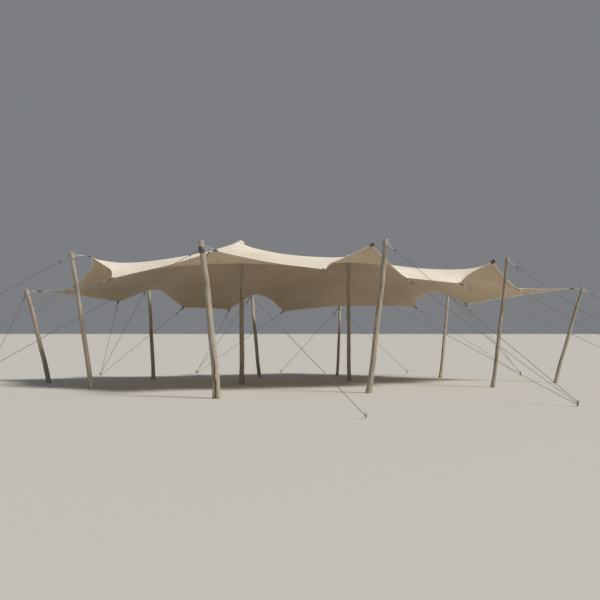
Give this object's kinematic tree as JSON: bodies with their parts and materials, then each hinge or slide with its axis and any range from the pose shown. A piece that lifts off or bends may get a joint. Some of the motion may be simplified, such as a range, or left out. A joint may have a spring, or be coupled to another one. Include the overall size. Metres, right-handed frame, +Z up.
{
  "type": "stretch tent",
  "caption": "free-form stretch tent: one sprung pale cloth with pulled-out tips over leaning timber poles, held by guys, hem ties and ground stakes",
  "frame": {"origin": "ground level under the middle of the object's bounding box", "axes": "+X along the width, to the right of the front view; +Y away from the front, toward the low back hem; +Z up"},
  "size_m": [25.2937, 15.4153, 4.2624],
  "materials": {
    "cloth": "matte pale ivory stretch knit",
    "timber": "debarked weathered grey gum timber",
    "rope": "braided grey rope",
    "steel": "worn galvanised steel"
  },
  "bodies": {
    "root": {"canopy": "cloth", "guy_back_left": "rope", "guy_back_mid_left": "rope", "guy_back_mid_right": "rope", "guy_back_right": "rope", "guy_front_left": "rope", "guy_front_right": "rope", "guy_left_corner": "rope", "guy_left_side": "rope", "guy_right_corner": "rope", "guy_right_side": "rope", "pole_back_left": "timber", "pole_back_mid_left": "timber", "pole_back_mid_right": "timber", "pole_back_right": "timber", "pole_front_left": "timber", "pole_front_right": "timber", "pole_left_corner": "timber", "pole_left_king": "timber", "pole_left_side": "timber", "pole_right_corner": "timber", "pole_right_king": "timber", "pole_right_side": "timber", "second_guy_back_mid_right": "rope", "second_guy_front_left": "rope", "stake_back_a": "steel", "stake_back_b": "steel", "stake_back_c": "steel", "stake_back_d": "steel", "stake_back_e": "steel", "stake_front_left": "steel", "stake_front_middle": "steel", "stake_front_right": "steel", "stake_left_back": "steel", "stake_left_far": "steel", "stake_left_near": "steel", "stake_right_far": "steel", "stake_right_near": "steel", "tie_back_a": "rope", "tie_back_b": "rope", "tie_back_c": "rope", "tie_back_d": "rope", "tie_back_e": "rope", "tie_back_f": "rope", "tie_front_a": "rope", "tie_front_b": "rope", "tie_front_c": "rope", "tie_front_d": "rope", "tie_left": "rope", "tie_right": "rope"}
  },
  "joints": []
}
